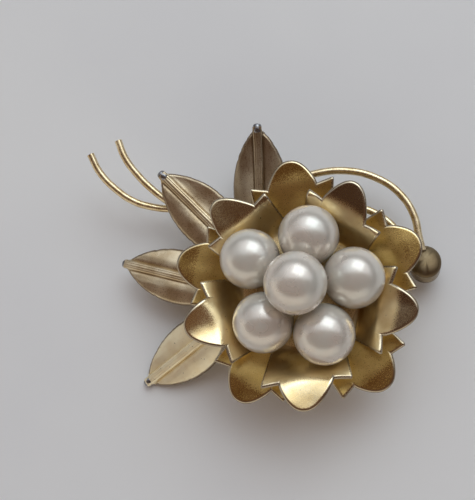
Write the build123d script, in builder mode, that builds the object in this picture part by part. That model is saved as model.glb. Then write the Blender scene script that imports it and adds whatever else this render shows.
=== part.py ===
"""Flower brooch: two stamped flowers, six pearls, four leaves, two stem wires and a pin back.

The brooch lies on its back on z = 0. +X runs along its length, +Z is the flower's axis.
All sizes are in millimetres.
"""
from build123d import *
import math
import os

os.makedirs("parts", exist_ok=True)

# ---------------------------------------------------------------- driving dimensions
FLOWER_X = 6.1            # flower axis, from the centre of the brooch's box
FLOWER_Y = -3.7
RUNNING_GAP = 0.05        # radial clearance of a turning shaft

# stack on the flower axis, from the back to the front
PIN_AXIS_Z = 2.1
BAR_Z = 4.3
PLATE_Z = 5.0
PLATE_THICKNESS = 0.8
LOWER_FLOWER_Z = 7.2
UPPER_FLOWER_Z = 7.7
PEARL_PLATE_Z = 8.2
PEARL_PLATE_THICKNESS = 0.6
PEARL_PLATE_RADIUS = 7.85
SHEET = 0.5

PEARL_RADIUS = 4.0
RING_PEARL_Z = 12.9
CENTRE_PEARL_Z = 17.5
PEG_RADIUS = 0.45
PEG_HOLE_RADIUS = 0.5
PEG_TOP_Z = 12.6
POST_RADIUS = 0.8
POST_HOLE_RADIUS = 0.85

PLATE_RADIUS = 9.0
WIRE_RADIUS = 0.55
WIRE_SEAT_Z = PLATE_Z - WIRE_RADIUS


def spot(x, y, z=0.0):
    """A point given from the flower's axis."""
    return (FLOWER_X + x, FLOWER_Y + y, z)


def polar(radius, angle, z=0.0):
    """A point given by radius and angle round the flower's axis."""
    turn = math.radians(angle)
    return spot(radius * math.cos(turn), radius * math.sin(turn), z)


def level(z):
    """The horizontal plane at height z, centred on the flower's axis."""
    return Plane(origin=spot(0, 0, z))


def save(piece, name):
    """Label a finished piece and write it to its own file."""
    piece.part.label = name
    export_step(piece.part, f"parts/{name}.step")


# ---------------------------------------------------------------- stamped flowers
HEEL = (2.5, 1.7)         # where a petal starts on the flat middle: distance and half width
LOBE_SHARE = 0.6          # the notches are this far out towards the shoulder corners
LOBE_OVERLAP = 0.7        # the lobe's ellipse is centred inside the line of the notches
LOBE_SPREAD = 0.15        # and reaches this far past each notch


def petal(profile, bends, root, shoulder, half_width, lobe_tip, shift, notch_depth):
    """One petal along +X: a sheet bent across its length and cut to the petal's outline.

    The outline widens to two square shoulders, with a shallow V notch between each and a
    round lobe. Shift moves the shoulders and the lobe sideways.
    """
    notch = shoulder - notch_depth
    lobe_half_width = LOBE_SHARE * half_width
    lobe_length = lobe_tip - notch + LOBE_OVERLAP
    with BuildPart() as blank:
        with BuildSketch(Plane.XZ):
            with BuildLine():
                FilletPolyline(*profile, radius=bends)
            trace(line_width=SHEET)
        extrude(amount=8, both=True)
        with BuildSketch(Plane.XY):
            Polygon(
                HEEL,
                root,
                (shoulder, shift + half_width),
                (notch, shift + lobe_half_width),
                (notch, shift - lobe_half_width),
                (shoulder, shift - half_width),
                (root[0], -root[1]),
                (HEEL[0], -HEEL[1]),
                align=None,
            )
            with Locations((lobe_tip - lobe_length, shift)):
                Ellipse(lobe_length, lobe_half_width + LOBE_SPREAD)
        extrude(amount=20, mode=Mode.INTERSECT)
    return blank.part


UPPER_DISC_RADIUS = 7.6
UPPER_BENDS = (1.8, 1.2, 1.8)   # bend radii along a petal, from the root out
UPPER_ROOT = (6.1, 4.45)
UPPER_NOTCH = 0.3
# direction, shoulder distance, half width, lobe tip distance, sideways shift
UPPER_PETALS = (
    (56.8, 11.7, 5.45, 15.4, 0.4),
    (131.9, 12.4, 5.15, 16.1, 0.15),
    (201.6, 12.2, 5.75, 16.0, 0.2),
    (276.7, 12.5, 5.9, 15.9, -0.65),
    (348.4, 12.0, 5.65, 15.4, -0.8),
)


def upper_petal(shoulder, half_width, lobe_tip, shift):
    """A tall petal: it climbs steeply round the pearls and flares out nearly level beyond."""
    low = UPPER_FLOWER_Z + SHEET / 2
    profile = (
        (HEEL[0], low),
        (8.8, low),
        (shoulder - 1.2, low + 3.3),
        (shoulder + 0.3, low + 4.1),
        (lobe_tip + 0.5, low + 4.4),
    )
    return petal(profile, UPPER_BENDS, UPPER_ROOT, shoulder, half_width,
                 lobe_tip, shift, UPPER_NOTCH)


LOWER_DISC_RADIUS = 8.0
LOWER_BENDS = (4.0, 3.0)
LOWER_ROOT = (6.4, 4.68)
LOWER_NOTCH = 0.45
LOWER_PETALS = (
    (21.7, 14.2, 5.7, 17.1, 0.0),
    (96.7, 14.6, 5.7, 17.6, -0.55),
    (167.6, 14.6, 5.5, 17.6, -0.35),
    (240.3, 14.4, 5.35, 17.4, -0.15),
    (310.8, 14.6, 5.4, 17.3, -0.05),
)


def lower_petal(shoulder, half_width, lobe_tip, shift):
    """A flatter petal: it rises gently and droops a little at the lobe."""
    low = LOWER_FLOWER_Z + SHEET / 2
    profile = (
        (HEEL[0], low),
        (9.8, low),
        (shoulder, low + 1.25),
        (lobe_tip + 0.5, low + 0.5),
    )
    return petal(profile, LOWER_BENDS, LOWER_ROOT, shoulder, half_width,
                 lobe_tip, shift, LOWER_NOTCH)


upper_petal_parts = [(turn, upper_petal(*sizes)) for turn, *sizes in UPPER_PETALS]
lower_petal_parts = [(turn, lower_petal(*sizes)) for turn, *sizes in LOWER_PETALS]

with BuildPart() as upper_flower:
    with BuildSketch(level(UPPER_FLOWER_Z)):
        Circle(UPPER_DISC_RADIUS)
    extrude(amount=SHEET)
    for turn, one_petal in upper_petal_parts:
        with Locations(Location(spot(0, 0), (0, 0, turn))):
            add(one_petal)
    with BuildSketch(level(UPPER_FLOWER_Z)):
        Circle(POST_HOLE_RADIUS)
    extrude(amount=SHEET, mode=Mode.SUBTRACT)
save(upper_flower, "upper_flower")

with BuildPart() as lower_flower:
    with BuildSketch(level(LOWER_FLOWER_Z)):
        Circle(LOWER_DISC_RADIUS)
    extrude(amount=SHEET)
    for turn, one_petal in lower_petal_parts:
        with Locations(Location(spot(0, 0), (0, 0, turn))):
            add(one_petal)
    with BuildSketch(level(LOWER_FLOWER_Z)):
        Circle(POST_HOLE_RADIUS)
    extrude(amount=SHEET, mode=Mode.SUBTRACT)
save(lower_flower, "lower_flower")

# ---------------------------------------------------------------- pearls and what holds them
# radius and angle of each ring pearl's centre round the flower's axis
RING_PEARLS = ((6.75, 78.2), (7.2, 7.9), (7.0, 297.5), (6.6, 225.0), (7.35, 150.0))
CENTRE_HOLE_DEPTH = 4.2
PEG_HOLE_DEPTH = PEG_TOP_Z + 0.2 - (RING_PEARL_Z - PEARL_RADIUS)


def pearl(centre, hole_depth):
    """A half-drilled pearl: a ball with a blind hole from below."""
    with BuildPart() as ball:
        with Locations(centre):
            Sphere(PEARL_RADIUS)
        x, y, z = centre
        with BuildSketch(Plane(origin=(x, y, z - PEARL_RADIUS - 1))):
            Circle(PEG_HOLE_RADIUS)
        extrude(amount=hole_depth + 1, mode=Mode.SUBTRACT)
    return ball


for number, (radius, angle) in enumerate(RING_PEARLS, start=1):
    save(pearl(polar(radius, angle, RING_PEARL_Z), PEG_HOLE_DEPTH), f"pearl_{number}")
save(pearl(spot(0, 0, CENTRE_PEARL_Z), CENTRE_HOLE_DEPTH), "pearl_centre")

with BuildPart() as pearl_plate:
    with BuildSketch(level(PEARL_PLATE_Z)):
        Circle(PEARL_PLATE_RADIUS)
        Circle(POST_HOLE_RADIUS, mode=Mode.SUBTRACT)
    extrude(amount=PEARL_PLATE_THICKNESS)
save(pearl_plate, "pearl_plate")

PEG_FOOT_Z = PEARL_PLATE_Z + PEARL_PLATE_THICKNESS
for number, (radius, angle) in enumerate(RING_PEARLS, start=1):
    with BuildPart() as pearl_peg:
        with BuildSketch(Plane(origin=polar(radius, angle, PEG_FOOT_Z))):
            Circle(PEG_RADIUS)
        extrude(amount=PEG_TOP_Z - PEG_FOOT_Z)
    save(pearl_peg, f"pearl_peg_{number}")

# the post is riveted under the back plate, has a collar on the pearl plate and a thin top peg
POST_HEAD = 0.5
POST_HEAD_RADIUS = 1.3
COLLAR_THICKNESS = 0.5
COLLAR_RADIUS = 1.6
COLLAR_TOP_Z = PEG_FOOT_Z + COLLAR_THICKNESS
with BuildPart() as centre_post:
    with BuildSketch(level(PLATE_Z - POST_HEAD)):
        Circle(POST_HEAD_RADIUS)
    extrude(amount=POST_HEAD)
    with BuildSketch(level(PLATE_Z)):
        Circle(POST_RADIUS)
    extrude(amount=PEG_FOOT_Z - PLATE_Z)
    with BuildSketch(level(PEG_FOOT_Z)):
        Circle(COLLAR_RADIUS)
    extrude(amount=COLLAR_THICKNESS)
    with BuildSketch(level(COLLAR_TOP_Z)):
        Circle(PEG_RADIUS)
    extrude(amount=CENTRE_PEARL_Z - COLLAR_TOP_Z)
save(centre_post, "centre_post")

PLATE_TOP_Z = PLATE_Z + PLATE_THICKNESS
WASHER_RADIUS = 2.6
with BuildPart() as spacer_washer:
    with BuildSketch(level(PLATE_TOP_Z)):
        Circle(WASHER_RADIUS)
        Circle(POST_HOLE_RADIUS, mode=Mode.SUBTRACT)
    extrude(amount=LOWER_FLOWER_Z - PLATE_TOP_Z)
save(spacer_washer, "spacer_washer")

# ---------------------------------------------------------------- back plate
LUG_ANGLE = 98.0          # the lug reaches out under the loop of the long wire
LUG_REACH = 16.2
LUG_WIDTH = 3.0
with BuildPart() as back_plate:
    with BuildSketch(level(PLATE_Z)):
        Circle(PLATE_RADIUS)
        with Locations(Location((0, 0, 0), (0, 0, LUG_ANGLE))):
            with Locations((LUG_REACH / 2, 0)):
                Rectangle(LUG_REACH, LUG_WIDTH)
        Circle(POST_HOLE_RADIUS, mode=Mode.SUBTRACT)
    extrude(amount=PLATE_THICKNESS)
save(back_plate, "back_plate")

# ---------------------------------------------------------------- leaves
BLADE_LENGTH = 17.2
BLADE_HALF_WIDTH = 3.7
BLADE_RISE = 0.65         # height of the blade's middle line over the back plate
RIB_HALF_WIDTH = 0.55
RIB_HALF_HEIGHT = 0.5
RIB_OVERHANG = 0.45       # the rib sticks out past the blade's point
STALK_WIDTH = 1.3
STALK_JOIN = 0.8          # the stalk runs this far in under the blade
STALK_THICKNESS = 0.6
BLADE_THICKNESS = 0.4
# half of the blade's crown from the rib out: sideways place and height
BLADE_CROWN = ((0.0, 0.35), (0.6, 0.0), (1.3, -0.22), (2.6, -0.2), (4.2, 0.2))


def leaf(tip, direction, tilt, stalk):
    """A leaf from a stalk on the back plate to its tip, folded along a raised rib."""
    turn = math.radians(direction)
    slope = math.radians(tilt)
    run = BLADE_LENGTH * math.cos(slope)
    base = spot(tip[0] - run * math.cos(turn), tip[1] - run * math.sin(turn),
                PLATE_TOP_Z + BLADE_RISE)
    out = Vector(math.cos(turn) * math.cos(slope), math.sin(turn) * math.cos(slope),
                 math.sin(slope))
    side = Vector(-math.sin(turn), math.cos(turn), 0)
    up = out.cross(side)
    section_plane = Plane(origin=base, x_dir=side, z_dir=out)
    blade_plane = Plane(origin=base, x_dir=out, z_dir=up)
    stalk_plane = Plane(origin=(base[0], base[1], PLATE_TOP_Z),
                        x_dir=(math.cos(turn), math.sin(turn), 0), z_dir=(0, 0, 1))
    with BuildPart() as blade:
        with BuildSketch(section_plane):
            with BuildLine():
                under = [(y, z - BLADE_THICKNESS) for y, z in reversed(BLADE_CROWN)]
                right = [*BLADE_CROWN, *under]
                left = [(-y, z) for y, z in reversed(right[1:-1])]
                Polyline(*right, *left, close=True)
            make_face()
        extrude(amount=BLADE_LENGTH)
        with BuildSketch(blade_plane.offset(-2)):
            with BuildLine():
                middle = BLADE_LENGTH / 2
                ThreePointArc((0, 0), (middle, BLADE_HALF_WIDTH), (BLADE_LENGTH, 0))
                ThreePointArc((BLADE_LENGTH, 0), (middle, -BLADE_HALF_WIDTH), (0, 0))
            make_face()
        extrude(amount=4, mode=Mode.INTERSECT)
        with BuildSketch(section_plane.offset(0.2)):
            Ellipse(RIB_HALF_WIDTH, RIB_HALF_HEIGHT)
        extrude(amount=BLADE_LENGTH + RIB_OVERHANG - 0.2)
        with BuildSketch(stalk_plane):
            with Locations(((STALK_JOIN - stalk) / 2, 0)):
                Rectangle(STALK_JOIN + stalk, STALK_WIDTH)
        extrude(amount=STALK_THICKNESS)
    return blade


# tip position from the flower's axis, direction, upward tilt and stalk length of each leaf
LEAVES = (
    ((-19.9, 16.7), 134.8, 4.0, 1.6),
    ((-6.1, 23.1), 90.8, 3.5, 1.6),
    ((-26.2, 4.4), 165.5, -9.0, 1.2),
    ((-23.5, -12.9), 215.1, -20.0, 3.0),
)
for number, sizes in enumerate(LEAVES, start=1):
    save(leaf(*sizes), f"leaf_{number}")

# ---------------------------------------------------------------- stem wires
LONG_WIRE = (
    (-30.5, 20.2, 8.0),
    (-28.7, 16.3, 7.2),
    (-24.7, 12.9, 5.9),
    (-19.5, 12.0, 4.7),
    (-10.5, 11.8, WIRE_SEAT_Z),
    (-0.5, 16.3, WIRE_SEAT_Z),
    (7.0, 17.2, WIRE_SEAT_Z),
    (12.6, 14.9, WIRE_SEAT_Z),
    (15.6, 10.9, 4.4),
    (16.3, 5.6, 4.2),
)
LONG_WIRE_BEND = 6.0
SHORT_WIRE = (
    (-26.3, 21.9, 8.2),
    (-24.7, 17.9, 7.6),
    (-20.7, 13.9, 6.6),
    (-14.8, 10.0, 5.1),
    (-8.5, 6.9, WIRE_SEAT_Z),
    (0.5, 7.0, WIRE_SEAT_Z),
    (7.2, 12.0, WIRE_SEAT_Z),
    (12.4, 9.3, 4.4),
    (15.0, 5.4, 4.3),
)
SHORT_WIRE_BEND = 3.0


def stem_wire(points, bend, radius):
    """A round wire that runs straight between the points and is bent round each of them."""
    with BuildPart() as wire:
        with BuildLine() as path:
            FilletPolyline(*[spot(*point) for point in points], radius=bend)
        with BuildSketch(Plane(origin=path.line @ 0, z_dir=path.line % 0)):
            Circle(radius)
        sweep()
    return wire


save(stem_wire(LONG_WIRE, LONG_WIRE_BEND, WIRE_RADIUS), "stem_wire_long")
save(stem_wire(SHORT_WIRE, SHORT_WIRE_BEND, WIRE_RADIUS), "stem_wire_short")

# ---------------------------------------------------------------- bud
BUD_CENTRE = (16.8, 3.8)
BUD_RIM_Z = 2.9
BUD_RADIUS = 2.3
BUD_SKIRT = 0.3           # the straight rim under the dome
BUD_WALL = 0.5
BUD_INNER_RADIUS = BUD_RADIUS - BUD_WALL
WIRE_HOLE_RADIUS = WIRE_RADIUS + 0.03

with BuildPart() as bud:
    bud_plane = Plane(origin=spot(*BUD_CENTRE, BUD_RIM_Z), x_dir=(1, 0, 0), z_dir=(0, -1, 0))
    with BuildSketch(bud_plane):
        with BuildLine():
            CenterArc((0, BUD_SKIRT), BUD_RADIUS, 0, 90)
            CenterArc((0, BUD_SKIRT), BUD_INNER_RADIUS, 0, 90)
            Line((BUD_RADIUS, BUD_SKIRT), (BUD_RADIUS, 0))
            Line((BUD_RADIUS, 0), (BUD_INNER_RADIUS, 0))
            Line((BUD_INNER_RADIUS, 0), (BUD_INNER_RADIUS, BUD_SKIRT))
            Line((0, BUD_SKIRT + BUD_INNER_RADIUS), (0, BUD_SKIRT + BUD_RADIUS))
        make_face()
    revolve(axis=Axis(spot(*BUD_CENTRE, BUD_RIM_Z), (0, 0, 1)))
    for points in (LONG_WIRE, SHORT_WIRE):
        wire_end = Vector(*spot(*points[-1]))
        wire_way = Vector(*spot(*points[-2])) - wire_end
        with BuildSketch(Plane(origin=wire_end, z_dir=wire_way)):
            Circle(WIRE_HOLE_RADIUS)
        extrude(amount=2.5, mode=Mode.SUBTRACT)
save(bud, "bud")

# ---------------------------------------------------------------- pin back
PIN_Y = 3.0               # the pin's line, from the flower's axis
BAR_WIDTH = 3.0
BAR_ENDS = (-13.7, 13.4)
BAR_THICKNESS = PLATE_Z - BAR_Z
with BuildPart() as pin_bar:
    with BuildSketch(Plane(origin=spot(0, PIN_Y, BAR_Z))):
        with Locations(((BAR_ENDS[0] + BAR_ENDS[1]) / 2, 0)):
            SlotOverall(BAR_ENDS[1] - BAR_ENDS[0], BAR_WIDTH)
    extrude(amount=BAR_THICKNESS)
save(pin_bar, "pin_bar")

HINGE_X = -12.0
EAR_THICKNESS = 0.5
EAR_GAP = 1.8             # between the ears
EAR_RADIUS = 1.6
BRACKET_FLOOR = 0.4
RIVET_RADIUS = 0.4
RIVET_HEAD = 0.3
RIVET_HEAD_RADIUS = 0.75
with BuildPart() as hinge_bracket:
    with BuildSketch(Plane(origin=spot(HINGE_X, PIN_Y, BAR_Z - BRACKET_FLOOR))):
        Rectangle(2 * EAR_RADIUS, EAR_GAP + 2 * EAR_THICKNESS)
    extrude(amount=BRACKET_FLOOR)
    for side in (-1, 1):
        ear_y = PIN_Y + side * (EAR_GAP + EAR_THICKNESS) / 2
        ear_plane = Plane(origin=spot(HINGE_X, ear_y, 0), x_dir=(1, 0, 0), z_dir=(0, -1, 0))
        with BuildSketch(ear_plane):
            with Locations((0, EAR_RADIUS)):
                Circle(EAR_RADIUS)
            with Locations((0, (EAR_RADIUS + BAR_Z) / 2)):
                Rectangle(2 * EAR_RADIUS, BAR_Z - EAR_RADIUS)
            with Locations((0, PIN_AXIS_Z)):
                Circle(RIVET_RADIUS + 0.02, mode=Mode.SUBTRACT)
        extrude(amount=EAR_THICKNESS / 2, both=True)
save(hinge_bracket, "hinge_bracket")

rivet_span = EAR_GAP + 2 * EAR_THICKNESS
with BuildPart() as hinge_rivet:
    with BuildSketch(Plane(origin=spot(HINGE_X, PIN_Y, PIN_AXIS_Z), z_dir=(0, 1, 0))):
        Circle(RIVET_RADIUS)
    extrude(amount=rivet_span / 2 + RIVET_HEAD, both=True)
    for side in (-1, 1):
        head_origin = spot(HINGE_X, PIN_Y + side * rivet_span / 2, PIN_AXIS_Z)
        with BuildSketch(Plane(origin=head_origin, z_dir=(0, side, 0))):
            Circle(RIVET_HEAD_RADIUS)
        extrude(amount=RIVET_HEAD)
save(hinge_rivet, "hinge_rivet")

PIN_RADIUS = 0.4
EYE_RADIUS = 1.0
EYE_WIDTH = 1.6
NECK_RADIUS = 0.6         # the thick start of the pin, up to clear of the ears
NECK_LENGTH = 2.0
NECK_START = 0.7          # the neck starts inside the eye, clear of the rivet
TAPER_START_X = 9.6
PIN_POINT_X = 14.6
PIN_POINT_RADIUS = 0.06
with BuildPart() as pin_stem:
    with BuildSketch(Plane(origin=spot(HINGE_X, PIN_Y, PIN_AXIS_Z), z_dir=(0, 1, 0))):
        Circle(EYE_RADIUS)
    extrude(amount=EYE_WIDTH / 2, both=True)
    neck_start = spot(HINGE_X + NECK_START, PIN_Y, PIN_AXIS_Z)
    with BuildSketch(Plane(origin=neck_start, z_dir=(1, 0, 0))):
        Circle(NECK_RADIUS)
    extrude(amount=NECK_LENGTH - NECK_START)
    neck_end = spot(HINGE_X + NECK_LENGTH, PIN_Y, PIN_AXIS_Z)
    with BuildSketch(Plane(origin=neck_end, z_dir=(1, 0, 0))):
        Circle(PIN_RADIUS)
    extrude(amount=TAPER_START_X - HINGE_X - NECK_LENGTH)
    with BuildSketch(Plane(origin=spot(TAPER_START_X, PIN_Y, PIN_AXIS_Z), z_dir=(1, 0, 0))):
        Circle(PIN_RADIUS)
    with BuildSketch(Plane(origin=spot(PIN_POINT_X, PIN_Y, PIN_AXIS_Z), z_dir=(1, 0, 0))):
        Circle(PIN_POINT_RADIUS)
    loft()
    with BuildSketch(Plane(origin=spot(HINGE_X, PIN_Y, PIN_AXIS_Z), z_dir=(0, 1, 0))):
        Circle(RIVET_RADIUS + RUNNING_GAP)
    extrude(amount=EYE_WIDTH, both=True, mode=Mode.SUBTRACT)
save(pin_stem, "pin_stem")

CATCH_X = 12.1            # middle of the catch
CATCH_LENGTH = 2.4
BARREL_RADIUS = 2.1
DRUM_RADIUS = 1.4
MOUTH_HALF_WIDTH = 0.6    # the opening the pin enters by
FOOT_WIDTH = 1.8          # the flat foot that is soldered to the bar
FOOT_HEIGHT = 0.7
DRUM_SLOT_HALF_WIDTH = 0.5
TAB_WIDTH = 0.7
TAB_THICKNESS = 0.5
TAB_START = 1.1           # the thumb tab is rooted inside the drum's wall
TAB_REACH = 2.65
TAB_ANGLE = 35.0          # thumb tab when unlocked, up from +Y
CATCH_TRAVEL = 90.0
TAB_SLOT_MARGIN = 14.0    # extra turn of the slot past the tab at each end
TAB_SLOT_CLEARANCE = 0.1


def across(x):
    """The plane across the pin's line at x: its axes run along +Y and +Z."""
    return Plane(origin=spot(x, PIN_Y, PIN_AXIS_Z), x_dir=(0, 1, 0), z_dir=(1, 0, 0))


def sector(radius, start, end, steps=6):
    """Corner points of a pie slice wide enough to cut a barrel wall."""
    angles = [math.radians(start + (end - start) * part / steps) for part in range(steps + 1)]
    rim = [(radius * math.cos(angle), radius * math.sin(angle)) for angle in angles]
    return [(0, 0), *rim]


with BuildPart() as catch_housing:
    with BuildSketch(across(CATCH_X)):
        Circle(BARREL_RADIUS)
        with Locations((0, BAR_Z - PIN_AXIS_Z - FOOT_HEIGHT / 2)):
            Rectangle(FOOT_WIDTH, FOOT_HEIGHT)
        Circle(DRUM_RADIUS + RUNNING_GAP, mode=Mode.SUBTRACT)
        with Locations((0, -BARREL_RADIUS)):
            Rectangle(2 * MOUTH_HALF_WIDTH, 2 * BARREL_RADIUS, mode=Mode.SUBTRACT)
    extrude(amount=CATCH_LENGTH / 2, both=True)
    slot_start = TAB_ANGLE - CATCH_TRAVEL - TAB_SLOT_MARGIN
    with BuildSketch(across(CATCH_X)):
        Polygon(*sector(2 * BARREL_RADIUS, slot_start, TAB_ANGLE + TAB_SLOT_MARGIN), align=None)
    extrude(amount=TAB_WIDTH / 2 + TAB_SLOT_CLEARANCE, both=True, mode=Mode.SUBTRACT)
save(catch_housing, "catch_housing")

with BuildPart() as catch_roller:
    with BuildSketch(across(CATCH_X)):
        Circle(DRUM_RADIUS)
        Circle(DRUM_SLOT_HALF_WIDTH, mode=Mode.SUBTRACT)
        with Locations((0, -DRUM_RADIUS)):
            Rectangle(2 * DRUM_SLOT_HALF_WIDTH, 2 * DRUM_RADIUS, mode=Mode.SUBTRACT)
    extrude(amount=CATCH_LENGTH / 2, both=True)
    with BuildSketch(across(CATCH_X)):
        with Locations(Location((0, 0, 0), (0, 0, TAB_ANGLE))):
            with Locations(((TAB_REACH + TAB_START) / 2, 0)):
                Rectangle(TAB_REACH - TAB_START, TAB_THICKNESS)
    extrude(amount=TAB_WIDTH / 2, both=True)
save(catch_roller, "catch_roller")
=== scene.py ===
"""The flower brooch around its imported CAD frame: stamped petals, leaves, wires, pearls and finishes."""
import math

import bpy
import numpy as np
from mathutils import Matrix, Vector, noise


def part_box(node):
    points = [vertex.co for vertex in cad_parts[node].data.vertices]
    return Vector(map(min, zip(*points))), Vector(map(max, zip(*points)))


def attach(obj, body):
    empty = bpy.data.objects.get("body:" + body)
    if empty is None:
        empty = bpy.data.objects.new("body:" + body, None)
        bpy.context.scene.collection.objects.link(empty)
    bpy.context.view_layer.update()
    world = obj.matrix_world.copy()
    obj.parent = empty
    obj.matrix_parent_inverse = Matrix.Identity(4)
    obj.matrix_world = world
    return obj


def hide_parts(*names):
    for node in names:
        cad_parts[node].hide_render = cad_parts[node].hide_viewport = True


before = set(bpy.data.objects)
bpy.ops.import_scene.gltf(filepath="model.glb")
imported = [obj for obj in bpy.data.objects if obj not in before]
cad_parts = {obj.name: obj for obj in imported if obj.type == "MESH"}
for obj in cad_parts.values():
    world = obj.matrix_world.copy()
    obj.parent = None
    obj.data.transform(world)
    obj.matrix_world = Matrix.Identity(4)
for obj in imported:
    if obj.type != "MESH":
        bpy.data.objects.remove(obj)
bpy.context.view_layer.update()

MM = 0.001
SHEET = 0.5 * MM
PEARL_RADIUS = 4.0 * MM


def fade_in(value, start, width):
    """0 up to start, rising to 1 over width."""
    return min(1.0, max(0.0, (value - start) / width))


def middle(node):
    """The centre of a CAD node's box."""
    low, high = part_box(node)
    return (Vector(low) + Vector(high)) / 2


FLOWER = middle("centre_post")
FLOWER.z = 0.0
LOWER_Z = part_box("lower_flower")[0][2]
UPPER_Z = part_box("upper_flower")[0][2]
PLATE_TOP_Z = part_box("back_plate")[1][2]


# ------------------------------------------------------------------ node helpers
class Nodes:
    """Short calls for building a node tree."""

    def __init__(self, tree):
        self.tree = tree

    def add(self, kind, **settings):
        node = self.tree.nodes.new(kind)
        for key, value in settings.items():
            setattr(node, key, value)
        return node

    def link(self, source, target):
        self.tree.links.new(source, target)

    def feed(self, socket, value):
        """Link a socket into this one, or set a constant on it."""
        if isinstance(value, bpy.types.NodeSocket):
            self.link(value, socket)
        else:
            socket.default_value = value

    def coordinates(self, kind="Object", scale=(1, 1, 1)):
        """Coordinates in millimetres times scale; kind is Object or UV."""
        source = self.add("ShaderNodeTexCoord")
        mapping = self.add("ShaderNodeMapping")
        per_mm = 1.0 if kind == "UV" else 1.0 / MM
        mapping.inputs["Scale"].default_value = [per_mm * part for part in scale]
        self.link(source.outputs[kind], mapping.inputs["Vector"])
        return mapping.outputs["Vector"]

    def noise(self, vector, scale, detail=3.0, roughness=0.55):
        texture = self.add("ShaderNodeTexNoise")
        texture.inputs["Scale"].default_value = scale
        texture.inputs["Detail"].default_value = detail
        texture.inputs["Roughness"].default_value = roughness
        self.link(vector, texture.inputs["Vector"])
        return texture.outputs["Fac"]

    def ramp(self, value, low, high, start=0.0, end=1.0):
        """value from low to high becomes start to end, smoothly."""
        node = self.add("ShaderNodeMapRange", interpolation_type="SMOOTHSTEP")
        for socket, number in (("From Min", low), ("From Max", high),
                               ("To Min", start), ("To Max", end)):
            node.inputs[socket].default_value = number
        self.link(value, node.inputs["Value"])
        return node.outputs["Result"]

    def mix(self, factor, first, second):
        """A colour between first and second; each is a colour or a socket."""
        node = self.add("ShaderNodeMix", data_type="RGBA")
        self.link(factor, node.inputs[0])
        for socket, value in ((node.inputs[6], first), (node.inputs[7], second)):
            is_socket = isinstance(value, bpy.types.NodeSocket)
            self.feed(socket, value if is_socket else (*value, 1.0))
        return node.outputs[2]

    def math(self, operation, first, second):
        node = self.add("ShaderNodeMath", operation=operation)
        self.feed(node.inputs[0], first)
        self.feed(node.inputs[1], second)
        return node.outputs[0]

    def attribute(self, name):
        return self.add("ShaderNodeAttribute", attribute_name=name).outputs["Fac"]

    def bump(self, height, distance, strength, below=None):
        node = self.add("ShaderNodeBump")
        node.inputs["Strength"].default_value = strength
        node.inputs["Distance"].default_value = distance
        self.link(height, node.inputs["Height"])
        if below is not None:
            self.link(below, node.inputs["Normal"])
        return node.outputs["Normal"]


class Finish(Nodes):
    """A new material and its node tree."""

    def __init__(self, name):
        self.material = bpy.data.materials.new(name)
        self.material.use_nodes = True
        super().__init__(self.material.node_tree)
        self.shader = self.tree.nodes["Principled BSDF"]

    def set(self, socket, value):
        self.feed(self.shader.inputs[socket], value)


# ------------------------------------------------------------------ materials
def gold(name, bright, deep, roughness=0.34, grain=0.5, brushed=0.5):
    """Satin gold plate: fine grain, brush lines along the sheet, specks and tarnish, with painted shade
    where the shade mark is set and rims lightened as a painted highlight.
    """
    n = Finish(name)
    place = n.coordinates("Object")
    patches = n.noise(place, 0.35, 4.0)
    fine = n.noise(place, 7.0, 2.0, 0.7)
    colour = n.mix(n.ramp(patches, 0.35, 0.68), bright, deep)
    tarnish = n.ramp(n.noise(place, 1.6, 5.0, 0.7), 0.60, 0.74)
    colour = n.mix(n.math("MULTIPLY", tarnish, 0.4), colour, (0.30, 0.20, 0.08))
    specks = n.ramp(n.noise(place, 2.6, 1.0), 0.765, 0.80)
    colour = n.mix(n.math("MULTIPLY", specks, 0.85), colour, (0.05, 0.03, 0.012))
    rough = n.ramp(fine, 0.3, 0.7, roughness - 0.07, roughness + 0.09)
    rough = n.math("ADD", rough, n.math("MULTIPLY", tarnish, 0.10))
    rough = n.math("SUBTRACT", rough, n.math("MULTIPLY", n.attribute("polish"), 0.13))
    # painted shade: darker where the shade mark is set
    colour = n.mix(n.attribute("patina"), colour, (0.20, 0.14, 0.09))
    # painted highlight: the rims' colour is lightened; their lower roughness is polish
    rim = n.attribute("rim")
    colour = n.mix(n.math("MULTIPLY", rim, 0.35), colour, (0.95, 0.87, 0.68))
    rough = n.math("SUBTRACT", rough, n.math("MULTIPLY", rim, 0.10))
    n.set("Base Color", colour)
    n.set("Metallic", 1.0)
    n.set("Roughness", rough)
    lines = n.noise(n.coordinates("UV", (9.0, 0.55, 1.0)), 1.0, 3.0, 0.6)
    normal = n.bump(fine, 0.012 * MM, grain)
    n.set("Normal", n.bump(lines, 0.010 * MM, brushed, normal))
    return n.material


def wire_gold():
    """Drawn gold-plated wire with duller patches and dark specks."""
    n = Finish("wire_gold")
    place = n.coordinates("Object")
    patches = n.ramp(n.noise(place, 0.9, 4.0), 0.4, 0.66)
    fine = n.noise(place, 6.0, 2.0, 0.7)
    colour = n.mix(patches, (0.80, 0.66, 0.42), (0.62, 0.47, 0.26))
    specks = n.ramp(n.noise(place, 3.1, 1.0), 0.74, 0.78)
    colour = n.mix(n.math("MULTIPLY", specks, 0.7), colour, (0.08, 0.05, 0.03))
    n.set("Base Color", colour)
    n.set("Metallic", 1.0)
    n.set("Roughness", n.ramp(fine, 0.3, 0.7, 0.24, 0.40))
    n.set("Normal", n.bump(fine, 0.012 * MM, 0.5))
    return n.material


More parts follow.
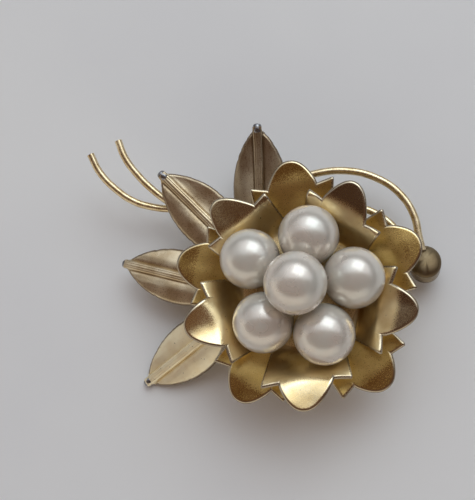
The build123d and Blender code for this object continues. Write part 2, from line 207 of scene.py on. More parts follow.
def plain_metal(name, bright, deep, roughness):
    """The metal of the back and the pin: turned or drawn, with light scratches."""
    n = Finish(name)
    place = n.coordinates("Object")
    patches = n.ramp(n.noise(place, 0.5, 4.0), 0.35, 0.7)
    scratches = n.noise(n.coordinates("Object", (0.5, 9.0, 9.0)), 1.0, 3.0, 0.6)
    fine = n.noise(place, 8.0, 2.0, 0.7)
    colour = n.mix(patches, bright, deep)
    stain = n.ramp(n.noise(place, 1.9, 4.0, 0.7), 0.62, 0.74)
    colour = n.mix(n.math("MULTIPLY", stain, 0.5), colour, [0.35 * part for part in deep])
    n.set("Base Color", colour)
    n.set("Metallic", 1.0)
    n.set("Roughness", n.ramp(fine, 0.3, 0.7, roughness - 0.06, roughness + 0.08))
    normal = n.bump(fine, 0.008 * MM, 0.4)
    n.set("Normal", n.bump(scratches, 0.010 * MM, 0.5, normal))
    return n.material


def nacre():
    """Pearl: a cream body under a clear lustrous skin, with faint warm and cool bands and pits."""
    n = Finish("nacre")
    place = n.coordinates("Object")
    bands = n.noise(place, 0.22, 3.0)
    colour = n.mix(n.ramp(bands, 0.35, 0.65), (0.73, 0.66, 0.585), (0.70, 0.675, 0.61))
    pits = n.ramp(n.noise(place, 1.5, 1.0), 0.77, 0.80)
    colour = n.mix(n.math("MULTIPLY", pits, 0.6), colour, (0.30, 0.22, 0.17))
    n.set("Base Color", colour)
    n.set("Metallic", 0.36)
    n.set("Roughness", n.ramp(bands, 0.3, 0.7, 0.26, 0.32))
    n.set("Subsurface Weight", 0.10)
    n.set("Subsurface Radius", (0.8 * MM, 0.6 * MM, 0.5 * MM))
    n.set("Specular IOR Level", 0.5)
    n.set("Coat Weight", 0.75)
    n.set("Coat Roughness", 0.08)
    n.set("Coat IOR", 1.62)
    n.set("Coat Tint", (1.0, 0.98, 0.95, 1.0))
    n.set("Normal", n.bump(n.noise(place, 0.8, 3.0), 0.03 * MM, 0.35))
    return n.material


PETAL_GOLD = gold("petal_gold", (0.92, 0.75, 0.43), (0.81, 0.61, 0.30), 0.36, 0.55, 0.5)
# a darker, deeper copy of the petal gold: painted shade of the lower petals under the upper flower
LOWER_GOLD = gold("lower_petal_gold", (0.63, 0.44, 0.155), (0.51, 0.34, 0.105), 0.33, 0.6, 0.35)
LEAF_GOLD = gold("leaf_gold", (0.76, 0.64, 0.44), (0.56, 0.43, 0.26), 0.33, 0.9, 0.6)
# a lighter copy of the leaf gold: painted light on the lowest leaf; its higher roughness is a satin
# finish
LEAF_SATIN_PAINTED_LIGHT = gold("leaf_satin_painted_light_gold", (1.0, 0.91, 0.67), (0.90, 0.77, 0.52), 0.50, 0.9, 0.6)
# a much darker copy of the gold: painted shade on the bud
BUD_GOLD = gold("bud_gold", (0.25, 0.19, 0.11), (0.17, 0.12, 0.065), 0.46, 0.9, 0.8)
WIRE_GOLD = wire_gold()
BACK_GOLD = plain_metal("back_gold", (0.78, 0.62, 0.34), (0.62, 0.46, 0.24), 0.30)
PIN_STEEL = plain_metal("pin_steel", (0.66, 0.64, 0.60), (0.50, 0.48, 0.45), 0.22)
DARK_SILVER = plain_metal("dark_silver", (0.30, 0.30, 0.31), (0.14, 0.14, 0.15), 0.28)
# painted shade: a dark metal for the sheets' cut edges and the bud's skirt, standing in for their shade
# and dark reflections
CUT_EDGE_PAINTED_SHADE = plain_metal("cut_edge_painted_shade", (0.34, 0.25, 0.13), (0.16, 0.11, 0.06), 0.24)
NACRE = nacre()


# ------------------------------------------------------------------ mesh helpers
def make_mesh(name, points, faces, material, uv=None, **marks):
    """A smooth mesh piece from points in metres; uv is in millimetres along the sheet."""
    mesh = bpy.data.meshes.new(name)
    mesh.from_pydata([tuple(p) for p in points], [], faces)
    if uv is not None:
        layer = mesh.uv_layers.new(name="UVMap")
        for loop in mesh.loops:
            layer.data[loop.index].uv = uv[loop.vertex_index]
    for mark, values in marks.items():
        mesh.attributes.new(mark, "FLOAT", "POINT").data.foreach_set("value", values)
    mesh.materials.append(material)
    mesh.shade_smooth()
    piece = bpy.data.objects.new(name, mesh)
    bpy.context.scene.collection.objects.link(piece)
    return piece


def modify(piece, kind, **settings):
    modifier = piece.modifiers.new(kind.title(), kind)
    for key, value in settings.items():
        setattr(modifier, key, value)


def thicken(piece, thickness):
    """Turn a surface into a sheet whose cut edge takes the dark metal of painted shade."""
    piece.data.materials.append(CUT_EDGE_PAINTED_SHADE)
    modify(piece, "SOLIDIFY", thickness=thickness, offset=0.0, material_offset_rim=1)


def grid_faces(rows, columns, start=0):
    """Quads between rows of points that are stored row after row."""
    faces = []
    for i in range(rows - 1):
        for j in range(columns - 1):
            a = start + i * columns + j
            faces.append((a, a + 1, a + 1 + columns, a + columns))
    return faces


def ring_faces(rings, sides):
    """Quads between rings of points that are stored ring after ring."""
    faces = []
    for i in range(rings - 1):
        for k in range(sides):
            after = (k + 1) % sides
            a = i * sides
            faces.append((a + k, a + sides + k, a + sides + after, a + after))
    return faces


SPREAD = np.linspace(-1, 1, 9)
WEIGHTS = np.cos(SPREAD * math.pi / 2.2)


def smooth_path(knots, position, softness):
    """Height of a bent line through knots at a position, with its corners rounded."""
    xs, zs = zip(*knots)
    samples = np.interp(position + SPREAD * softness, xs, zs)
    return float((samples * WEIGHTS).sum() / WEIGHTS.sum())


# ------------------------------------------------------------------ stamped flowers
PETAL_SHEET = SHEET * 0.9
PETAL_COLUMNS = 61
PETAL_ROWS = 27           # rows of points from a petal's root to the rounding of its rim
INNER_STEPS = (0.15, 0.4, 0.7)    # and rows at these shares of the way from the axis to the root
NOTCH_STEPS = (-0.045, -0.02, -0.008, 0.0, 0.008, 0.02, 0.045)
RIM_STEPS = (0.22, 0.42, 0.58, 0.72, 0.84, 0.94, 1.0)
RIM_ROUND = 0.24          # the burnished rim turns down over this distance
RIM_DEPTH = 0.96          # and by nearly as much at the edge
RIM_ZONE = 1.1 * RIM_ROUND
RIM_SPREAD = 0.14         # the sheet ends this far inside the outline, to leave its thickness room
SIDE_RIM = 0.06           # share of the half width with close columns for the side rims
ROOT_MARGIN = 1.05        # the side rims start just past the root
# painted shade on the outside of the rims: how dark, then where it starts and how wide it grows
EDGE_PAINTED_SHADE = 0.92
EDGE_PAINTED_SHADE_FADE = (0.22, 0.25)         # start and width, as shares of the rounding
LOBE_SHARE = 0.6          # the notches are this far out towards the corners
LOBE_POWERS = (2.2, 0.9)  # how square the lobe's outline is
LOBE_CURVE = 0.6          # the lobe rises faster near the ridge than at its tip
RIDGE_RISE = 4.1
UPPER_FLAT = 8.3          # the upper petals leave the flat middle here
WALL_TOP = (1.4, 3.3)     # where their steep part ends: inside the shoulder, and its height
CORNER_FOLD = 0.12        # past the notches, the fold of the corners sets in over this share
LOWER_FLAT = 9.6
LOWER_ROLL = 1.2
# starts and widths of what fades in along a petal, as distances from the flower's axis
WAVE_FADE = (8.5, 3.0)
CORNER_FADE = (11.0, 3.0)
# painted shade near the root, round the pearls: where it fades out, and how dark it is
ROOT_PAINTED_SHADE_FADE = (8.0, 3.0)
ROOT_PAINTED_SHADE = 0.55
WAVES_PER_MM = 0.28
UPPER_WAVE = 0.18
LOWER_WAVE = 0.12
LOBE_FADE = (0.1, 0.7)    # the same past the ridge, for the lobe's polish and its painted shade


class Petal:
    """One petal of a stamping, along +X before it is turned; sizes in millimetres.

    Shoulder and tip are how far the corners and the lobe reach; shift moves them sideways.
    Notch is how deep the cuts beside the lobe go, and lean tips the lobe to one side.
    Crest, bow and slant place the ridge: out from the shoulders, back at the corners, askew.
    Rise is a lower petal's height at the shoulders, and lift is how far the lobe goes on up.
    Dish raises an upper petal's lobe at its sides, or a lower petal's corners.
    Roll is how soft an upper petal's bends are, and fold turns its corners down.
    The last argument is how dark the lobe is painted: painted shade standing in for its dark reflection.
    """

    def __init__(self, direction, shoulder, half_width, tip, shift, notch=0.2, lean=0.0,
                 lift=0.5, dish=0.2, rise=1.2, roll=0.9, crest=0.0, bow=0.6, slant=0.0,
                 fold=0.0, patina=0.0):
        self.direction = direction
        self.shoulder = shoulder
        self.half_width = half_width
        self.tip = tip
        self.shift = shift
        self.notch = notch
        self.lean = lean
        self.lift = lift
        self.dish = dish
        self.rise = rise
        self.roll = roll
        self.crest = crest
        self.bow = bow
        self.slant = slant
        self.fold = fold
        self.patina = patina

    def ridge_at(self, v):
        """Distance of the ridge on a line v."""
        return self.shoulder + self.crest - self.bow * v ** 2 + self.slant * v * self.half_width

    def across_at(self, v, s, root):
        """Sideways place of a line v (-1 to 1) at distance s, straight from root to shoulder."""
        along = fade_in(s, root[0], self.shoulder - root[0])
        width = root[1] + (self.half_width - root[1]) * along
        return v * width + self.shift * along

    def edge_at(self, v):
        """Distance of the outer edge on a line v: a leaning lobe between two square shoulders."""
        base = self.shoulder - self.notch
        place = v / LOBE_SHARE
        if abs(place) < 1:
            place -= self.lean * (1 - place ** 2)
            return base + (self.tip - base) * (1 - abs(place) ** LOBE_POWERS[0]) ** LOBE_POWERS[1]
        return base + self.notch * (abs(v) - LOBE_SHARE) / (1 - LOBE_SHARE)

    def squareness(self, v):
        """How square the outer edge stands to the petal at a line v: 1 at a tip, less on a flank."""
        step = 0.01
        ahead = self.edge_at(min(1.0, v + step)) - self.edge_at(max(-1.0, v - step))
        run = 2 * step * self.half_width
        return max(0.2, run / math.hypot(run, ahead))


def rounding(distance):
    """How far a burnished rim falls at a distance from the edge of the sheet, and its share."""
    share = 1 - fade_in(distance, 0, RIM_ROUND)
    return RIM_ROUND * (1 - math.sqrt(1 - RIM_DEPTH * share ** 2)), share


def edge_painted_shade(share, start, width):
    """How dark the outside of a rim is painted, as painted shade; it darkens from the share start over
    width.
    """
    return EDGE_PAINTED_SHADE * fade_in(share, start, width)


def upper_height(petal, s, v):
    """Height over the flat middle: up round the pearls to a ridge, then out along the lobe."""
    ridge = petal.ridge_at(v)
    reach = petal.tip + 0.4 - ridge
    lobe = [(ridge + share * reach,
             RIDGE_RISE + petal.lift * share * (1 + LOBE_CURVE - LOBE_CURVE * share))
            for share in (0.25, 0.5, 0.75, 1.0)]
    knots = ((0, 0), (UPPER_FLAT, 0), (petal.shoulder - WALL_TOP[0], WALL_TOP[1]),
             (ridge, RIDGE_RISE), *lobe)
    height = smooth_path(knots, s, petal.roll)
    beyond = max(0.0, s - ridge)
    across = min(1.0, abs(v) / LOBE_SHARE)
    cupped = petal.dish * across ** 2 * math.sqrt(min(1.0, beyond / reach))
    folded = petal.fold * beyond * fade_in(abs(v), LOBE_SHARE, CORNER_FOLD)
    return height + cupped - folded


def lower_height(petal, s, v):
    """Height of the flatter petals: a gentle rise and a level or drooping lobe."""
    knots = ((0, 0), (LOWER_FLAT, 0), (petal.shoulder, petal.rise),
             (petal.shoulder + LOWER_ROLL, petal.rise), (petal.tip + 0.5, petal.rise + petal.lift))
    height = smooth_path(knots, s, LOWER_ROLL)
    corner = max(0.0, abs(v) - 0.7) / 0.3
    return height + petal.dish * corner ** 2 * fade_in(s, *CORNER_FADE)


def petal_columns():
    """Sideways places from -1 to 1, closer together at the notches and the side rims."""
    fine = [side * LOBE_SHARE + step for side in (-1, 1) for step in NOTCH_STEPS]
    fine += [side * (1 - SIDE_RIM * (1 - step)) for side in (-1, 1) for step in RIM_STEPS[:-1]]
    both = sorted([*np.linspace(-1, 1, PETAL_COLUMNS), *fine])
    return [v for i, v in enumerate(both) if i == 0 or v - both[i - 1] > 0.004]


def petal_rows(petal, root, columns):
    """Points out along a petal, row by row: distance, sideways place, way to the edge, line."""
    rows = [[(root[0] * step, root[1] * step * v, RIM_ROUND, v) for v in columns]
            for step in INNER_STEPS]
    ends = [petal.edge_at(v) - RIM_SPREAD / petal.squareness(v) ** 0.5 for v in columns]
    zones = [RIM_ZONE / petal.squareness(v) for v in columns]
    for i in range(PETAL_ROWS + len(RIM_STEPS)):
        row = []
        for v, end, zone in zip(columns, ends, zones):
            if i < PETAL_ROWS:
                s = root[0] + (end - zone - root[0]) * i / (PETAL_ROWS - 1)
            else:
                s = end - zone * (1 - RIM_STEPS[i - PETAL_ROWS])
            to_end = (end - s) * petal.squareness(v)
            row.append((s, petal.across_at(v, s, root), to_end, v))
        rows.append(row)
    return rows


def petal_painted_shade(petal, s, share, out):
    """How dark a point is painted: painted shade on the lobe for its dark reflection and round the root
    by the pearls, or under the rim.
    """
    root_painted_shade = ROOT_PAINTED_SHADE * (1 - fade_in(s, *ROOT_PAINTED_SHADE_FADE)) * (petal.patina > 0)
    return max(petal.patina * out + root_painted_shade, edge_painted_shade(share, *EDGE_PAINTED_SHADE_FADE))


def flower(name, petals, root, height_at, flat_z, material, wave):
    """One stamping: a flat middle with five petals, as a single sheet."""
    points, uv, rim, polish, patina, faces = [], [], [], [], [], []
    columns = petal_columns()
    for petal in petals:
        side_turn = Matrix.Rotation(math.radians(petal.direction), 3, "Z")
        start = len(points)
        rows = petal_rows(petal, root, columns)
        for row in rows:
            for s, across, to_end, v in row:
                wobble = noise.noise(Vector((s * WAVES_PER_MM, across * WAVES_PER_MM,
                                             petal.direction)))
                past_root = s > root[0] * ROOT_MARGIN
                to_side = (1 - abs(v)) * petal.half_width if past_root else RIM_ROUND
                fall, share = rounding(min(to_end, to_side))
                z = height_at(petal, s, v) + wave * wobble * fade_in(s, *WAVE_FADE) - fall
                flat = side_turn @ Vector((s, across, 0))
                points.append((FLOWER.x + flat.x * MM, FLOWER.y + flat.y * MM, flat_z + z * MM))
                uv.append((across, s))
                # painted highlight along the rims
                rim.append(4 * share * (1 - share))
                out = fade_in(s, petal.ridge_at(v) + LOBE_FADE[0], LOBE_FADE[1])
                polish.append(out)
                # painted shade: the lobe's dark reflection, the shade round the pearls near the root and
                # the dark under the rims
                patina.append(petal_painted_shade(petal, s, share, out))
        faces += grid_faces(len(rows), len(columns), start)
    piece = make_mesh(name, points, faces, material, uv, rim=rim, polish=polish,
                      patina=patina)
    modify(piece, "WELD", merge_threshold=0.02 * MM)
    thicken(piece, PETAL_SHEET)
    modify(piece, "SUBSURF", levels=1, render_levels=1)
    return piece


UPPER_ROOT = (6.1, 4.43)
UPPER_PETALS = (
    Petal(56.8, 11.7, 5.45, 15.45, 0.4, lean=0.15, lift=0.9, dish=0.3, roll=0.45, crest=0.25,
          bow=1.0, fold=0.9, patina=0.85),
    Petal(131.9, 12.4, 5.15, 16.15, 0.15, lean=0.2, lift=0.6, dish=0.2, roll=0.9, crest=-0.8,
          bow=0.1, slant=0.17, patina=0.6),
    Petal(201.6, 12.2, 5.75, 16.1, 0.2, lean=-0.15, lift=0.8, dish=1.1, roll=1.0, crest=-0.55,
          bow=-0.4, fold=0.4, patina=0.08),
    Petal(276.7, 12.5, 5.9, 15.95, -0.65, lean=-0.15, lift=1.0, dish=0.5, roll=1.0, crest=-0.9,
          bow=-0.6, fold=0.4, patina=0.02),
    Petal(348.4, 12.0, 5.65, 15.5, -0.8, notch=0.35, lean=0.15, lift=0.4, dish=0.3, roll=0.45,
          crest=0.5, bow=1.0, fold=0.9, patina=0.82),
)
LOWER_ROOT = (6.4, 4.65)
LOWER_PETALS = (
    Petal(21.7, 14.2, 5.7, 17.1, 0.0, notch=0.3, rise=1.3, lift=-0.1, dish=0.15),
    Petal(96.7, 14.6, 5.7, 17.65, -0.55, notch=0.5, rise=1.5, lift=0.5, dish=0.2),
    Petal(167.6, 14.6, 5.5, 17.65, -0.35, notch=0.4, rise=1.3, lift=0.2, dish=0.1),
    Petal(240.3, 14.4, 5.35, 17.4, -0.15, notch=0.4, rise=0.9, lift=0.1, dish=0.15),
    Petal(310.8, 14.6, 5.4, 17.3, -0.05, notch=0.3, rise=0.6, lift=0.15, dish=0.15),
)
upper_flower = flower("upper_flower_sheet", UPPER_PETALS, UPPER_ROOT, upper_height,
                      UPPER_Z + SHEET / 2, PETAL_GOLD, UPPER_WAVE)
lower_flower = flower("lower_flower_sheet", LOWER_PETALS, LOWER_ROOT, lower_height,
                      LOWER_Z + SHEET / 2, LOWER_GOLD, LOWER_WAVE)
for sheet, node, finish_slot in ((upper_flower, "upper_flower", "gold_petal"),
                                 (lower_flower, "lower_flower", "gold_petal_deep")):
    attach(sheet, "brooch")
    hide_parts(node)

# ------------------------------------------------------------------ leaves
BLADE_LENGTH = 17.2
BLADE_HALF_WIDTH = 3.75
BLADE_RISE = 0.65
LEAF_SHEET = 0.42 * MM
RIB_OVERHANG = 0.45
# across the leaf: a rounded rib with a fine line on each side, a steep drop, then a half that
# curves down to its rim
LEAF_SECTION = ((0.0, 0.42), (0.12, 0.42), (0.18, 0.28), (0.24, 0.40), (0.42, 0.36), (0.50, 0.0),
                (0.62, -0.26), (1.1, -0.12), (1.9, -0.10), (2.7, -0.26), (3.4, -0.5), (4.2, -0.85))
LEAF_PROFILE = [(-across, height) for across, height in LEAF_SECTION[:0:-1]] + [*LEAF_SECTION]
LEAF_REACH = LEAF_SECTION[-1][0]
LEAF_FLAT = -0.10         # what lies below this height is scaled by the curve of its side
SECTION_ROLL = 0.035
LEAF_ROWS = 64
RIB_COLUMNS = (0.0, 0.06, 0.11, 0.15, 0.18, 0.21, 0.25, 0.32, 0.40, 0.45, 0.49, 0.54, 0.60, 0.68,
               0.8, 0.95)
BLADE_COLUMNS = 13
CROWDING = 1.7            # how much closer the columns stand near the rim
POINT_FADE = (0.9, 1.2)   # on a half narrower than this the columns are spread evenly
POINT_HALF_WIDTH = 0.45   # the points of the leaf are no narrower than its rib
RIM_START = 0.8           # only the blade past the rib has a rounded rim
# where the painted shade under the leaf's rim starts and how wide it grows
LEAF_EDGE_PAINTED_SHADE_FADE = (0.12, 0.22)
LEAF_WAVE = 0.10
LEAF_WAVES_PER_MM = 0.35
NICK_DEPTH = 0.16
NICKS_PER_MM = 1.9


def leaf_frame(tip, direction, tilt):
    """The matrix from a leaf's own axes (along, side, up) to the frame."""
    turn = math.radians(direction)
    slope = math.radians(tilt)
    run = BLADE_LENGTH * math.cos(slope)
    base = Vector((FLOWER.x + (tip[0] - run * math.cos(turn)) * MM,
                   FLOWER.y + (tip[1] - run * math.sin(turn)) * MM,
                   PLATE_TOP_Z + BLADE_RISE * MM))
    out = Vector((math.cos(turn) * math.cos(slope), math.sin(turn) * math.cos(slope),
                  math.sin(slope)))
    side = Vector((-math.sin(turn), math.cos(turn), 0))
    up = out.cross(side)
    axes = Matrix((out, side, up)).transposed().to_4x4()
    return Matrix.Translation(base) @ axes


def half_width_at(s, seed, side):
    """Half the blade's width at s: two arcs that meet in points, with small nicks."""
    half = BLADE_LENGTH / 2
    radius = (half ** 2 + BLADE_HALF_WIDTH ** 2) / (2 * BLADE_HALF_WIDTH)
    width = math.sqrt(max(0.0, radius ** 2 - (s - half) ** 2)) - (radius - BLADE_HALF_WIDTH)
    nick = noise.noise(Vector((s * NICKS_PER_MM, seed * 7.0, side * 3.0)))
    return max(0.0, width - NICK_DEPTH * max(0.0, nick) * min(1.0, width))


def half_places(width):
    """Sideways places from the middle of the rib to the rim, for a half of the given width."""
    near_rib = RIB_COLUMNS[-1]
    blade = LEAF_REACH - near_rib
    steps = np.linspace(0, 1, BLADE_COLUMNS + 1)[1:]
    whole = [*RIB_COLUMNS, *(LEAF_REACH - blade * (1 - steps) ** CROWDING)]
    near = fade_in(width, *POINT_FADE)
    places = []
    for k, place in enumerate(whole):
        if place > near_rib:
            place = near_rib + (place - near_rib) * (width - near_rib) / blade
        places.append(near * place + (1 - near) * width * k / (len(whole) - 1))
    return places


def leaf_row(s, number):
    """The points across the blade at s: sideways place and distance from the rim."""
    row = []
    for side in (-1, 1):
        width = max(half_width_at(s, number, side), POINT_HALF_WIDTH)
        half = [(side * place, width - place) for place in half_places(width)]
        row = half[::-1] if side < 0 else row + half[1:]
    return row


def leaf_height(s, across, bend, arches, number):
    """Height of the blade: its section, each side's own curve, the lengthwise arch and waves."""
    section = smooth_path(LEAF_PROFILE, across, SECTION_ROLL)
    if section < LEAF_FLAT:
        section = LEAF_FLAT + (section - LEAF_FLAT) * arches[0 if across < 0 else 1]
    arch = bend * (1 - (2 * s / BLADE_LENGTH - 1) ** 2)
    wobble = noise.noise(Vector((s * LEAF_WAVES_PER_MM, across * LEAF_WAVES_PER_MM,
                                 number * 5.0)))
    return section + arch + LEAF_WAVE * wobble


def leaf(number, tip, direction, tilt, bend, arches, patina, material):
    """A leaf blade with its rib as one sheet, the rib's blunt dark end and the stalk."""
    matrix = leaf_frame(tip, direction, tilt)
    points, uv, rim, stain = [], [], [], []
    for i in range(LEAF_ROWS):
        s = BLADE_LENGTH * (0.5 - 0.5 * math.cos(math.pi * i / (LEAF_ROWS - 1)))
        s = min(max(s, 0.02), BLADE_LENGTH - 0.02)
        row = leaf_row(s, number)
        for across, to_rim in row:
            fall, worn = rounding(to_rim if abs(across) > RIM_START else RIM_ROUND)
            height = leaf_height(s, across, bend, arches, number) - fall
            points.append(matrix @ (Vector((s, across, height)) * MM))
            uv.append((across, s))
            # painted highlight along the rim
            rim.append(0.5 * worn * (1 - worn))
            # painted shade: each leaf's given darkness and the dark under its rim
            stain.append(max(patina, edge_painted_shade(worn, *LEAF_EDGE_PAINTED_SHADE_FADE)))
    piece = make_mesh(f"leaf_{number}_blade", points, grid_faces(LEAF_ROWS, len(row)), material,
                      uv, rim=rim, patina=stain)
    thicken(piece, LEAF_SHEET)
    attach(piece, "brooch")
    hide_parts(f"leaf_{number}")
    rib_ends(number, matrix)


TURNED_SIDES = 32


def turned(name, matrix, profile, material, squeeze=1.0):
    """A piece turned round its own +X axis from (along, radius) pairs in millimetres."""
    points = []
    for along, radius in profile:
        for k in range(TURNED_SIDES):
            angle = 2 * math.pi * k / TURNED_SIDES
            local = Vector((along, radius * math.cos(angle), squeeze * radius * math.sin(angle)))
            points.append(matrix @ (local * MM))
    faces = [face[::-1] for face in ring_faces(len(profile), TURNED_SIDES)]
    faces.append(tuple(range(TURNED_SIDES))[::-1])
    faces.append(tuple(range(len(points) - TURNED_SIDES, len(points))))
    return make_mesh(name, points, faces, material, uv=[(0.0, 0.0)] * len(points))


RIB_END = BLADE_LENGTH + RIB_OVERHANG
RIB_END_PROFILE = ((BLADE_LENGTH - 1.1, 0.30), (BLADE_LENGTH - 0.75, 0.64), (RIB_END - 0.25, 0.60),
                   (RIB_END - 0.08, 0.48), (RIB_END, 0.28))
STALK_PROFILE = ((-1.4, 0.35), (-1.2, 0.5), (2.6, 0.5), (3.6, 0.3))


def rib_ends(number, matrix):
    """The blunt end of the rib past the leaf's point, and the stalk under the flower."""
    rib_end = turned(f"leaf_{number}_rib_end", matrix, RIB_END_PROFILE, DARK_SILVER)
    stalk = turned(f"leaf_{number}_stalk", matrix, STALK_PROFILE, LEAF_GOLD, squeeze=0.7)
    for piece in (rib_end, stalk):
        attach(piece, "brooch")


# tip from the flower's axis, direction, tilt, lengthwise arch, how far each side of the
# blade curves down (up if negative), painted shade and material of each leaf; the last leaf's material is
# a lighter copy, painted light
LEAVES = (
    ((-19.9, 16.7), 134.8, 4.0, -0.6, (-0.6, 1.0), 0.15, LEAF_GOLD),
    ((-6.1, 23.1), 90.8, 3.5, -0.9, (1.2, 1.5), 0.62, LEAF_GOLD),
    ((-26.2, 4.4), 165.5, -9.0, 0.35, (1.0, 1.0), 0.05, LEAF_GOLD),
    ((-23.5, -12.9), 215.1, -20.0, -0.3, (0.9, 1.4), 0.0, LEAF_SATIN_PAINTED_LIGHT),
)
for number, shape in enumerate(LEAVES, start=1):
    leaf(number, *shape)

# ------------------------------------------------------------------ stem wires
WIRE_RADIUS = 0.53
# points along each wire, from the flower's axis: from the free left end to the bud
LONG_WIRE = (
    (-30.5, 20.0, 8.0), (-29.2, 17.4, 7.5), (-27.1, 15.1, 6.8), (-24.5, 13.3, 5.9),
    (-21.8, 12.5, 5.2), (-19.0, 12.2, 4.7), (-15.0, 12.0, 4.5), (-10.5, 12.2, 4.45),
    (-5.6, 14.0, 4.45), (-2.0, 15.6, 4.45), (1.5, 16.7, 4.45), (6.2, 17.0, 4.45),
    (10.4, 15.8, 4.45), (13.6, 13.4, 4.4), (15.4, 10.3, 4.35), (16.0, 7.2, 4.3),
    (16.4, 5.4, 4.2),
)
SHORT_WIRE = (
    (-26.3, 21.8, 8.2), (-25.3, 19.3, 7.9), (-23.5, 16.8, 7.3), (-21.3, 14.6, 6.7),
    (-19.5, 13.2, 6.2), (-17.0, 11.5, 5.6), (-12.5, 9.1, 4.7), (-8.0, 7.3, 4.45),
    (-4.0, 7.0, 4.45), (0.5, 7.8, 4.45), (4.5, 10.3, 4.45), (7.8, 11.5, 4.45),
    (10.4, 10.6, 4.42), (13.0, 8.3, 4.37), (15.0, 5.4, 4.3),
)


def stem_wire(name, points, node):
    """A round formed wire: a rigid piece, smooth through its bends."""
    curve = bpy.data.curves.new(name, "CURVE")
    curve.dimensions = "3D"
    curve.bevel_depth = WIRE_RADIUS * MM
    curve.bevel_resolution = 6
    curve.use_fill_caps = True
    curve.resolution_u = 14
    spline = curve.splines.new("BEZIER")
    spline.bezier_points.add(len(points) - 1)
    for knot, point in zip(spline.bezier_points, points):
        knot.co = FLOWER + Vector(point) * MM
        knot.handle_left_type = "AUTO"
        knot.handle_right_type = "AUTO"
    curve.materials.append(WIRE_GOLD)
    piece = bpy.data.objects.new(name, curve)
    bpy.context.scene.collection.objects.link(piece)
    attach(piece, "brooch")
    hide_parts(node)


stem_wire("long_wire", LONG_WIRE, "stem_wire_long")
stem_wire("short_wire", SHORT_WIRE, "stem_wire_short")

# ------------------------------------------------------------------ bud
BUD = middle("bud")
BUD_TILT = -20.0
BUD_HALF_SIZES = (2.15, 2.45)
BUD_DOME = 1.2
BUD_SKIRT = 1.6
BUD_DROP = 0.45           # the dome's foot under the middle of the bud
BUD_SHEET = 0.35 * MM
BUD_CREASES = ((3.6, 0.16), (2.5, 0.10), (4.7, 0.12), (1.0, 0.08))    # angle and depth of each
CREASE_WIDTH = 0.16


def bud_dome():
    """A stamped bud: an oval creased dome over a skirt painted dark as painted shadow, tipped up at the
    front.
    """
    dome_rows, skirt_rows, sides = 20, 5, 72
    rows = dome_rows + skirt_rows
    points, uv, rim = [], [], []
    tip = Matrix.Rotation(math.radians(BUD_TILT), 3, "X")
    for i in range(rows):
        fall = min(1.0, i / (dome_rows - 1))
        down = max(0, i - dome_rows + 1) / skirt_rows
        for k in range(sides):
            angle = 2 * math.pi * k / sides
            radius = math.sin(fall * math.pi / 2) ** 0.85 - 0.02 * down
            height = BUD_DOME * math.cos(fall * math.pi / 2) ** 0.8 - BUD_SKIRT * down
            for crease, depth in BUD_CREASES:
                away = math.atan2(math.sin(angle - crease), math.cos(angle - crease))
                shape = math.exp(-(away / CREASE_WIDTH) ** 2)
                height -= depth * shape * math.sin(fall * math.pi) ** 2
            across = Vector((BUD_HALF_SIZES[0] * radius * math.cos(angle),
                             BUD_HALF_SIZES[1] * radius * math.sin(angle)))
            local = tip @ Vector((across.x, across.y, height))
            points.append(BUD + (local - Vector((0, 0, BUD_DROP))) * MM)
            uv.append(tuple(across))
            # painted highlight: the dome's rim row is lightened in colour
            rim.append(1.0 if i == dome_rows - 1 else 0.0)
    piece = make_mesh("bud_dome", points, ring_faces(rows, sides), BUD_GOLD, uv, rim=rim)
    # painted shadow: the skirt takes the dark cut-edge metal
    piece.data.materials.append(CUT_EDGE_PAINTED_SHADE)
    for face in piece.data.polygons[(dome_rows - 1) * sides:]:
        face.material_index = 1
    modify(piece, "WELD", merge_threshold=0.01 * MM)
    modify(piece, "SOLIDIFY", thickness=BUD_SHEET, offset=-1.0)
    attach(piece, "brooch")
    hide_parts("bud")


bud_dome()

# ------------------------------------------------------------------ pearls
PEARL_UNEVEN = 0.006


def pearl(node, number):
    """A pearl with a very slightly uneven skin."""
    low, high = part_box(node)
    centre = Vector(((low[0] + high[0]) / 2, (low[1] + high[1]) / 2, high[2] - PEARL_RADIUS))
    rings, sides = 64, 96
    points = []
    for i in range(rings + 1):
        polar = math.pi * i / rings
        for k in range(sides):
            turn = 2 * math.pi * k / sides
            way = Vector((math.sin(polar) * math.cos(turn), math.sin(polar) * math.sin(turn),
                          math.cos(polar)))
            uneven = 1 - PEARL_UNEVEN * abs(noise.noise(way * 1.3 + Vector((number * 3.1, 0, 0))))
            points.append(centre + way * PEARL_RADIUS * uneven)
    piece = make_mesh(f"{node}_nacre", points, ring_faces(rings + 1, sides), NACRE)
    modify(piece, "WELD", merge_threshold=0.005 * MM)
    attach(piece, "brooch")
    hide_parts(node)


for number in range(1, 6):
    pearl(f"pearl_{number}", number)
pearl("pearl_centre", 6)

# ------------------------------------------------------------------ CAD pieces that stay
CAD_EDGE = 0.05 * MM


def finish_cad(node, material):
    """Give a CAD node that stays its finish and softly rounded edges."""
    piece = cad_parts[node]
    piece.data.materials.clear()
    piece.data.materials.append(material)
    modify(piece, "BEVEL", width=CAD_EDGE, segments=2, limit_method="ANGLE",
           angle_limit=math.radians(40))


STAYING = ["pearl_plate", "centre_post", "spacer_washer", "back_plate", "pin_bar",
           "hinge_bracket", "catch_housing", "catch_roller"]
STAYING += [f"pearl_peg_{number}" for number in range(1, 6)]
for node in STAYING:
    finish_cad(node, BACK_GOLD)
for node in ("hinge_rivet", "pin_stem"):
    finish_cad(node, PIN_STEEL)

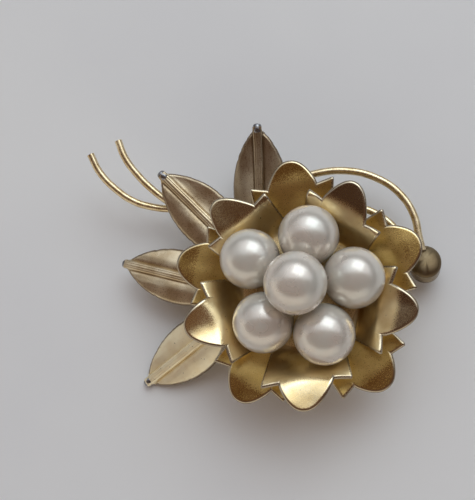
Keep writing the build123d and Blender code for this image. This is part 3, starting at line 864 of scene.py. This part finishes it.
# ------------------------------------------------------------------ floor, light and camera
FLOOR_HALF = 1.5
FLOOR_GAP = 0.02 * MM
DOWN = (0, 0, -1)
ROOM_DIM = (0.42, 0.42, 0.44)
ROOM_BRIGHT = (1.30, 1.37, 1.48)
FAR_DARK = (0.03, 0.026, 0.026)
NEAR_WALL = (0.9, 0.86, 0.78)
OVERHEAD_BROWN = (0.14, 0.083, 0.058)
WINDOW_WAY = Vector((0.265, 0.655, 0.706))
WINDOW_DISTANCE = 0.5
WINDOW_SIZE = (0.34, 0.30)
WINDOW_ENERGY = 0.60
WINDOW_COLOUR = (0.80, 0.93, 1.0)
LENS = 56.72
CAMERA_PLACE = Vector((8.98, -8.56, 114.80)) * MM      # from the flower's axis
CAMERA_BACK = Vector((0.1632, -0.1292, 0.9781)).normalized()
CAMERA_UP = Vector((0.0213, 0.9916, 0.1274)).normalized()


def floor():
    """A large pale sheet of paper."""
    n = Finish("floor_paper")
    place = n.coordinates("Object")
    tone = n.ramp(n.noise(place, 0.02, 3.0), 0.3, 0.7)
    n.set("Base Color", n.mix(tone, (0.79, 0.78, 0.775), (0.83, 0.82, 0.805)))
    n.set("Roughness", 0.75)
    n.set("Normal", n.bump(n.noise(place, 1.5, 4.0), 0.02 * MM, 0.3))
    corners = [(x * FLOOR_HALF, y * FLOOR_HALF, 0) for x, y in ((-1, -1), (1, -1), (1, 1), (-1, 1))]
    plane = make_mesh("floor", corners, [(0, 1, 2, 3)], n.material)
    plane.location.z = -FLOOR_GAP


def sky():
    """A grey room: bright by the window, dark and cream low down, and brown overhead."""
    world = bpy.data.worlds.new("room")
    bpy.context.scene.world = world
    world.use_nodes = True
    n = Nodes(world.node_tree)
    direction = n.add("ShaderNodeTexCoord").outputs["Generated"]

    def toward(aim, low, high, stretch=(1, 1, 1)):
        """0 to 1 as the looking direction nears the aim; stretch widens it along an axis."""
        scaled = n.add("ShaderNodeVectorMath", operation="MULTIPLY")
        scaled.inputs[1].default_value = stretch
        n.link(direction, scaled.inputs[0])
        unit = n.add("ShaderNodeVectorMath", operation="NORMALIZE")
        n.link(scaled.outputs[0], unit.inputs[0])
        dot = n.add("ShaderNodeVectorMath", operation="DOT_PRODUCT")
        dot.inputs[1].default_value = Vector(aim).normalized()
        n.link(unit.outputs[0], dot.inputs[0])
        return n.ramp(dot.outputs["Value"], low, high)

    far = n.math("MULTIPLY", toward(DOWN, -0.42, -0.28), toward((0.45, 0.8, 0), -0.35, 0.15))
    near = n.math("MULTIPLY", toward(DOWN, -0.65, -0.45), toward((-0.45, -0.9, 0), 0.1, 0.6))
    colour = n.mix(toward((0.25, 0.6, 0.75), 0.5, 0.97), ROOM_DIM, ROOM_BRIGHT)
    colour = n.mix(far, colour, FAR_DARK)
    colour = n.mix(near, colour, NEAR_WALL)
    colour = n.mix(toward((0.06, -0.36, 0.93), 0.74, 0.88, (0.3, 1, 1)), colour, OVERHEAD_BROWN)
    background = world.node_tree.nodes["Background"]
    n.link(colour, background.inputs["Color"])
    background.inputs["Strength"].default_value = 1.0


def window_light():
    """A soft window high on the far side."""
    light = bpy.data.lights.new("window", "AREA")
    light.shape = "RECTANGLE"
    light.size, light.size_y = WINDOW_SIZE
    light.energy = WINDOW_ENERGY
    light.color = WINDOW_COLOUR
    lamp = bpy.data.objects.new("window", light)
    lamp.location = FLOWER + WINDOW_WAY * WINDOW_DISTANCE
    lamp.rotation_euler = WINDOW_WAY.to_track_quat("Z", "Y").to_euler()
    bpy.context.scene.collection.objects.link(lamp)


def camera():
    """A close, nearly overhead view."""
    lens = bpy.data.cameras.new("camera")
    lens.sensor_width = 36.0
    lens.lens = LENS
    lens.clip_start = 0.005
    lens.clip_end = 10.0
    view = bpy.data.objects.new("camera", lens)
    right = CAMERA_UP.cross(CAMERA_BACK).normalized()
    axes = Matrix((right, CAMERA_UP, CAMERA_BACK)).transposed().to_4x4()
    view.matrix_world = Matrix.Translation(FLOWER + CAMERA_PLACE) @ axes
    bpy.context.scene.collection.objects.link(view)
    bpy.context.scene.camera = view


floor()
sky()
window_light()
camera()
bpy.context.scene.view_settings.view_transform = "Standard"
